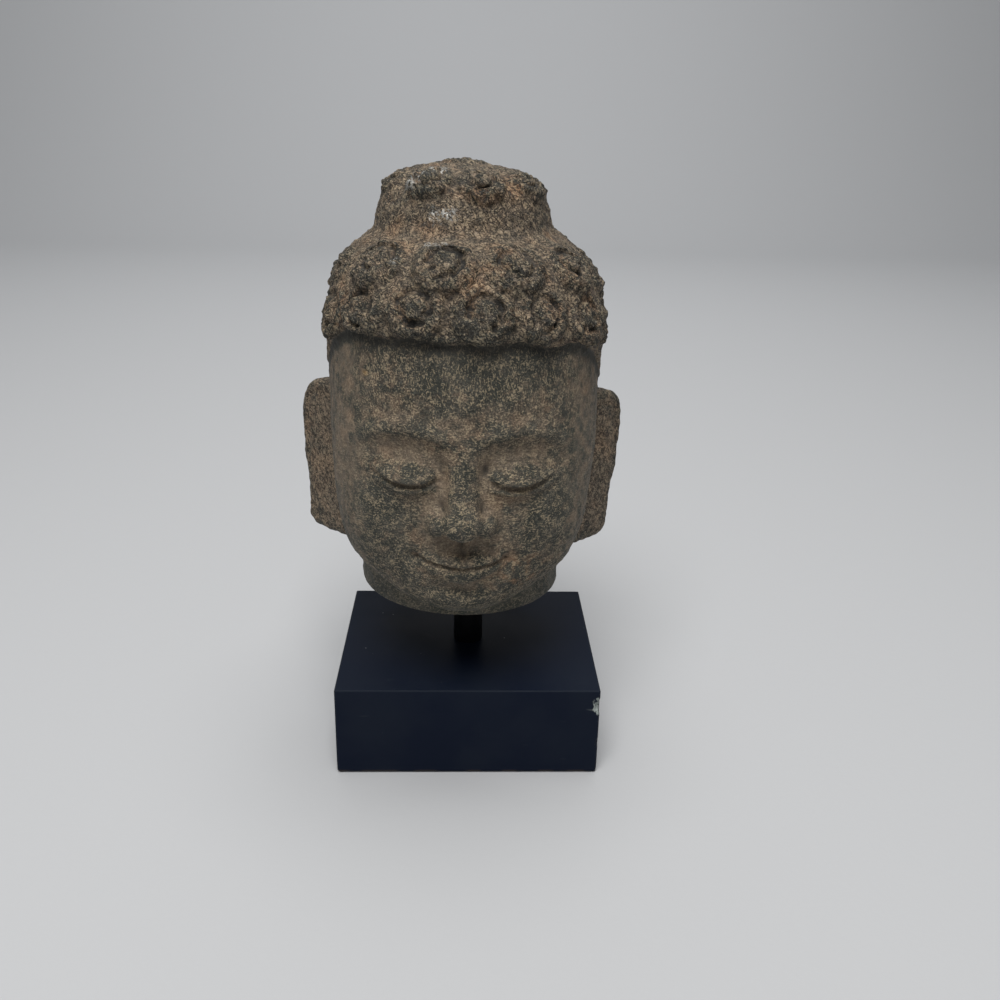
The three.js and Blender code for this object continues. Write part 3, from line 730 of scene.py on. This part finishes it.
def thinned(points, faces, most):
    """The same skin with fewer faces, kept where the surface turns most."""
    mesh = bpy.data.meshes.new("full_skin")
    mesh.from_pydata(points.tolist(), [], faces.tolist())
    full = bpy.data.objects.new("full_skin", mesh)
    bpy.context.scene.collection.objects.link(full)
    decimate = full.modifiers.new("thin", "DECIMATE")
    decimate.ratio = most / (2 * len(faces))
    thin = full.evaluated_get(bpy.context.evaluated_depsgraph_get()).to_mesh()
    few_points = np.empty(len(thin.vertices) * 3)
    thin.vertices.foreach_get("co", few_points)
    few_edges = np.empty(len(thin.edges) * 2, dtype=np.int64)
    thin.edges.foreach_get("vertices", few_edges)
    few_out = np.empty(len(thin.vertices) * 3)
    thin.vertices.foreach_get("normal", few_out)
    few_faces = [tuple(face.vertices) for face in thin.polygons]
    full.to_mesh_clear()
    bpy.data.objects.remove(full)
    bpy.data.meshes.remove(mesh)
    return few_points.reshape(-1, 3), few_faces, few_edges.reshape(-1, 2), few_out.reshape(-1, 3)


# linear colours of the stone, of what has settled on it or rubbed off it, and a near-black painted shade for
# its pits, cracks and hollows
STONE_GREEN = (0.038, 0.041, 0.032, 1)
STONE_GREY = (0.085, 0.080, 0.063, 1)
BROWN = (0.150, 0.118, 0.085, 1)
CLAY = (0.270, 0.195, 0.130, 1)
RUST = (0.310, 0.165, 0.080, 1)
PALE_GRAIN = (0.500, 0.395, 0.250, 1)
PAINTED_SHADE = (0.014, 0.012, 0.009, 1)
WHITE_BRUISE = (0.80, 0.80, 0.76, 1)
OCHRE = (0.62, 0.36, 0.12, 1)


def stone_skin():
    stone = Finish("weathered_stone")
    patina, hollow_shade, coarse, rust = [stone.value(name) for name in ("patina", "hollow_shade", "coarse", "rust")]
    bruise, ochre, streak = [stone.value(name) for name in ("bruise", "ochre", "streak")]
    in_hair, roll = [stone.value(name) for name in ("in_hair", "roll")]
    # the tooth chisel's short crooked ridges, upright on the brow and level on the cheeks
    upright = stone.vein(1.0, (1, 1, 2.3), 0.0)
    level = stone.vein(1.0, (2.1, 2.1, 0.9), 4.4)
    ridge = stone.step(stone.between(streak, level, upright), 0.068, 0.012)
    # in the hair and the ears the stone is wrinkled, in slanting strands and winding cracks
    strand = stone.step(stone.vein(1.8, (1, 1, 2.3), 3.6, slant=38), 0.075, 0.012)
    crack = stone.step(stone.vein(1.9, (1, 1, 1), 8.8), 0.065, 0.008)
    wrinkle = stone.sum("MAXIMUM", strand, crack)
    lines = stone.between(in_hair, ridge, stone.sum("SUBTRACT", 1.0, wrinkle))
    grains = stone.step(stone.grain(0.65, detail=2, rough=0.6, shift=2.7), 0.38, 0.62)
    height = stone.sum("ADD", stone.sum("MULTIPLY", lines, 0.5), stone.sum("MULTIPLY", grains, 0.5))
    # the stone and its patina, in patches, and dark bare stone on the tops of the curls
    cloudy = stone.step(stone.grain(9, detail=4, rough=0.6), 0.36, 0.66)
    ground = stone.over(STONE_GREEN, STONE_GREY, cloudy)
    patchy = stone.grain(4.5, detail=4, rough=0.68, shift=1.1)
    settled = stone.step(stone.sum("ADD", patina, stone.sum("MULTIPLY", patchy, 1.6)), 1.05, 1.50)
    clay = stone.step(stone.grain(5, detail=4, rough=0.6, shift=7.7), 0.38, 0.68)
    clay = stone.over(BROWN, CLAY, stone.sum("MULTIPLY", clay, stone.between(in_hair, 0.6, 1.0)))
    colour = stone.over(ground, stone.over(clay, RUST, rust), settled)
    bare = stone.step(stone.grain(2.8, detail=4, rough=0.6, shift=6.6), 0.51, 0.57)
    colour = stone.over(colour, STONE_GREEN, stone.sum("MULTIPLY", bare, stone.sum("MULTIPLY", roll, 0.9)))
    # pale tops on the ridges and grains, in clusters, and painted shade in the pits between them
    dense = stone.step(stone.grain(2.6, detail=4, rough=0.68, shift=5.9), 0.36, 0.64)
    top = stone.step(stone.sum("ADD", height, stone.sum("MULTIPLY", dense, 0.5)), 0.72, 1.12)
    pale = stone.sum("MULTIPLY", coarse, stone.between(in_hair, 0.84, 0.40))
    colour = stone.over(colour, PALE_GRAIN, stone.sum("MULTIPLY", top, pale))
    pit_shade = stone.sum("MULTIPLY", stone.step(height, 0.42, 0.06), coarse)
    pit_shade = stone.sum("MULTIPLY", pit_shade, stone.between(dense, 0.95, 0.6))
    # painted shade in the open cracks of the hair and the ears
    crack_shade = stone.sum("MULTIPLY", stone.sum("MULTIPLY", wrinkle, in_hair),
                           stone.between(grains, 0.95, 0.45))
    pit_shade = stone.sum("MAXIMUM", pit_shade, crack_shade)
    # the near-black painted shade goes into the pits, the cracks and the hollows
    colour = stone.over(colour, PAINTED_SHADE, stone.sum("MAXIMUM", pit_shade, hollow_shade))
    bruised = stone.sum("MULTIPLY", bruise, stone.step(stone.grain(1.0, detail=3), 0.44, 0.54))
    colour = stone.over(colour, WHITE_BRUISE, bruised)
    colour = stone.over(colour, OCHRE, ochre)
    grit = stone.relief(stone.grain(0.30, detail=1, shift=9.1), 0.05)
    lumps = stone.relief(stone.grain(2.2, detail=2, rough=0.6, shift=0.7), 1.4, grit, strength=roll)
    stone.done(colour, stone.between(height, 0.80, 0.62), stone.relief(height, 0.7, lumps, strength=coarse))
    return stone


# Places on the head, in mm: centre and radius. Rust where damp has stood, white where a knock
# has bruised the stone, a fleck of ochre, and where handling has kept the stone dark.
RUSTED = [((14, -25, 157), 9), ((2, -56, 129), 7), ((36, -42, 132), 8), ((22, -53, 24), 15),
          ((44, -35, 121), 8)]
BRUISED = [((-12, -22, 162), 6), ((-17.5, -24, 160), 5.5), ((-21.7, -26, 157), 5), ((-8, -35, 147.5), 4.5),
           ((-14, -34, 147), 4.5), ((-9, -42, 141), 4.5), ((-13, -41, 139), 4.5), ((-25, -45, 134), 3.5),
           ((43.5, -38, 113), 1.6)]
OCHRE_FLECKS = [((-33.5, -45.5, 95.5), 2.1)]
# these have a third number: how much the patina there is thinner, or thicker
DARK = [((-2, -57, 103), 27, 0.46), ((0, -58, 16), 14, 0.25), ((-29, -53, 50), 15, 0.34),
        ((-20, -54, 29), 13, 0.34), ((31, -51, 52), 15, 0.28), ((-17, -28, 156), 10, 0.35),
        ((-9, -49, 137), 8, 0.30), ((21, -53, 102), 13, 0.16)]
BROWN_PLACES = [((0, -58, 88), 15, 0.22), ((-42, -39, 69), 15, 0.2), ((-24, -52, 80), 14, 0.16),
                ((24, -52, 80), 14, 0.16)]


def spot(points, centre, radius):
    return hump(np.linalg.norm(points - np.array(centre), axis=1), radius)


LOW, HIGH = (-70, -76, -4), (70, 66, 168)
points, faces = net(sample(carving, LOW, HIGH, PITCH), LOW, PITCH)
points, out = settle(carving, points.astype(np.float64))
points = tooling(points, out, hair_at(points))
points, faces, edges, out = thinned(points, faces, MOST_FACES)

near_mean = neighbour_means(points, edges, 5)
wide_mean = neighbour_means(points, edges, 40)
fine_hollow = ((near_mean - points) * out).sum(1)
broad_hollow = ((wide_mean - points) * out).sum(1)
in_hair, on_ear = hair_at(points), ear_at(points)
roll = ramp(curl_relief(*points.T), 0.4, 1.5) * in_hair
drift = cloud(points, 15, 11)
middle = np.exp(-((points[:, 0] / 26) ** 2)) * ramp(-points[:, 1], 20, 45)

side_of_face = ramp(np.abs(points[:, 0]), 30, 42) * (1 - in_hair) * (1 - on_ear)
rough_hair = np.maximum(in_hair, on_ear)
sawn_neck = 1 - ramp(points[:, 2], 8, 16)
x, y, z = points.T
# painted shadow of the hair's edge: a band on the face just below it gets less patina and near-black painted
# shade
shadow_below_hair = hump(z - hair_edge(x, y) + 1.5, 4.5) * (1 - in_hair) * ramp(-y, 5, 20)
patina = 0.38 + 0.10 * drift + 0.26 * in_hair + 0.30 * on_ear + 0.12 * middle + 0.16 * side_of_face
near_hair = hump(z - hair_edge(x, y), 16) * (1 - in_hair) * ramp(-y, 5, 20)
patina += 0.34 * ramp(broad_hollow, 0.0, 1.2) * (1 - near_hair) - 0.3 * sawn_neck - 0.4 * shadow_below_hair
patina -= 0.20 * ramp(-broad_hollow, 0.0, 0.8)
coarse = 0.66 + 0.30 * in_hair + 0.1 * drift - 0.40 * side_of_face - 0.2 * ramp(broad_hollow, 0.1, 0.9)
coarse *= 1 - 0.5 * sawn_neck
# painted shade: near-black laid into the small and the broad hollows of the carving, and under the hair's
# edge
hollow_shade = ramp(fine_hollow, 0.16, 0.60) * (0.4 + 0.6 * in_hair)
hollow_shade = np.maximum(hollow_shade, 0.85 * ramp(broad_hollow + fine_hollow, 1.3, 2.4))
hollow_shade = np.maximum(hollow_shade, 0.75 * shadow_below_hair)
rust = 0.5 * ramp(cloud(points, 9, 12), 0.05, 0.55) * (0.4 + 0.6 * in_hair)
for place, radius in RUSTED:
    rust = np.maximum(rust, 0.9 * spot(points, place, radius))
bruise = np.zeros(len(points))
for place, radius in BRUISED:
    bruise = np.maximum(bruise, spot(points, place, radius) * ramp(cloud(points, 1.8, 13), -0.1, 0.3))
ochre = np.zeros(len(points))
for place, radius in OCHRE_FLECKS:
    ochre = np.maximum(ochre, spot(points, place, radius))
for place, radius, amount in DARK:
    patina -= amount * spot(points, place, radius) * (0.6 + 0.8 * ramp(drift, -0.3, 0.3))
for place, radius, amount in BROWN_PLACES:
    patina += amount * spot(points, place, radius)
streak = ramp(points[:, 2], 76, 92) * (1 - in_hair)

spots = np.array([HEAD_PLACE @ Vector(p) for p in points.tolist()])
head_low, head_high = [np.array(corner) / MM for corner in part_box("stone_head")]
spots = np.clip(spots, head_low + 0.02, head_high - 0.02)
head = add_piece("carved_stone_head", spots, faces, stone_skin())
for name, values in (("patina", np.clip(patina, 0, 1)), ("coarse", np.clip(coarse, 0, 1)), ("hollow_shade", hollow_shade),
                     ("rust", rust), ("bruise", bruise), ("ochre", ochre), ("streak", streak),
                     ("in_hair", rough_hair), ("roll", roll)):
    paint_values(head, name, values)
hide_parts("stone_head")

# ---- The table, the light and the camera ----
# A plain pale sweep of matte paper under and behind the piece. One soft box hangs overhead, a
# stronger one hangs in front and above, and a third, behind, lights the paper only.
PAPER = (0.50, 0.508, 0.52, 1)
SWEEP_FRONT, SWEEP_BACK, SWEEP_BEND, SWEEP_TOP = -2500.0, 1500.0, 700.0, 3000.0
SWEEP_HALF_WIDTH = 3000.0


def paper_points():
    bend = [(SWEEP_BACK + SWEEP_BEND * math.sin(t), SWEEP_BEND * (1 - math.cos(t)))
            for t in np.linspace(0, math.pi / 2, 17)]
    profile = [(SWEEP_FRONT, 0.0), (0.0, 0.0)] + bend + [(SWEEP_BACK + SWEEP_BEND, SWEEP_TOP)]
    points = [(side * SWEEP_HALF_WIDTH, y, z) for y, z in profile for side in (-1, 1)]
    faces = [(2 * i, 2 * i + 1, 2 * i + 3, 2 * i + 2) for i in range(len(profile) - 1)]
    return np.array(points), faces


def paper_finish():
    paper = Finish("pale_paper")
    paper.done(PAPER, 0.9, paper.relief(paper.grain(3, detail=3), 0.05))
    return paper


points, faces = paper_points()
mesh = bpy.data.meshes.new("paper_sweep")
mesh.from_pydata((points * MM).tolist(), [], faces)
mesh.shade_smooth()
mesh.materials.append(paper_finish().material)
sweep = bpy.data.objects.new("paper_sweep", mesh)
bpy.context.scene.collection.objects.link(sweep)


def soft_light(name, place, target, size, watts, colour):
    """A square soft box that faces the target; all lengths in metres."""
    light = bpy.data.lights.new(name, "AREA")
    light.size = size
    light.energy = watts
    light.color = colour
    lamp = bpy.data.objects.new(name, light)
    lamp.location = place
    lamp.rotation_mode = "QUATERNION"
    lamp.rotation_quaternion = (Vector(target) - Vector(place)).to_track_quat("-Z", "Y")
    bpy.context.scene.collection.objects.link(lamp)


soft_light("overhead", (0.05, 0.05, 1.20), (0, 0, 0.1), 0.6, 5, (1.0, 0.99, 0.97))
soft_light("front_top", (-0.10, -0.60, 1.15), (0, 0, 0.1), 0.6, 12, (1.0, 0.99, 0.98))
soft_light("background", (0, 0.9, 1.6), (0, 2.2, 0.6), 1.2, 16, (1.0, 1.0, 1.0))

ROOM_COLOUR = (0.96, 0.98, 1.0, 1)
ROOM_BRIGHTNESS = 0.20
world = bpy.data.worlds.new("room")
world.use_nodes = True
world.node_tree.nodes["Background"].inputs["Color"].default_value = ROOM_COLOUR
world.node_tree.nodes["Background"].inputs["Strength"].default_value = ROOM_BRIGHTNESS
bpy.context.scene.world = world
bpy.context.scene.view_settings.view_transform = "Standard"

CAMERA_PLACE = Vector((-0.00141, -0.38853, 0.24641))
LOOK_DOWN, LOOK_ASIDE, TIP = math.radians(20.84), math.radians(2.03), math.radians(1.15)
FOCAL_LENGTH, FILM_WIDTH = 37.44, 36
lens = bpy.data.cameras.new("camera")
lens.lens = FOCAL_LENGTH
lens.sensor_width = FILM_WIDTH
camera = bpy.data.objects.new("camera", lens)
level = Matrix(((1, 0, 0), (0, 0, -1), (0, 1, 0)))
turn = Matrix.Rotation(-LOOK_ASIDE, 3, "Z") @ Matrix.Rotation(-LOOK_DOWN, 3, "X")
aim = turn @ level @ Matrix.Rotation(TIP, 3, "Z")
camera.matrix_world = Matrix.Translation(CAMERA_PLACE) @ aim.to_4x4()
bpy.context.scene.collection.objects.link(camera)
bpy.context.scene.camera = camera
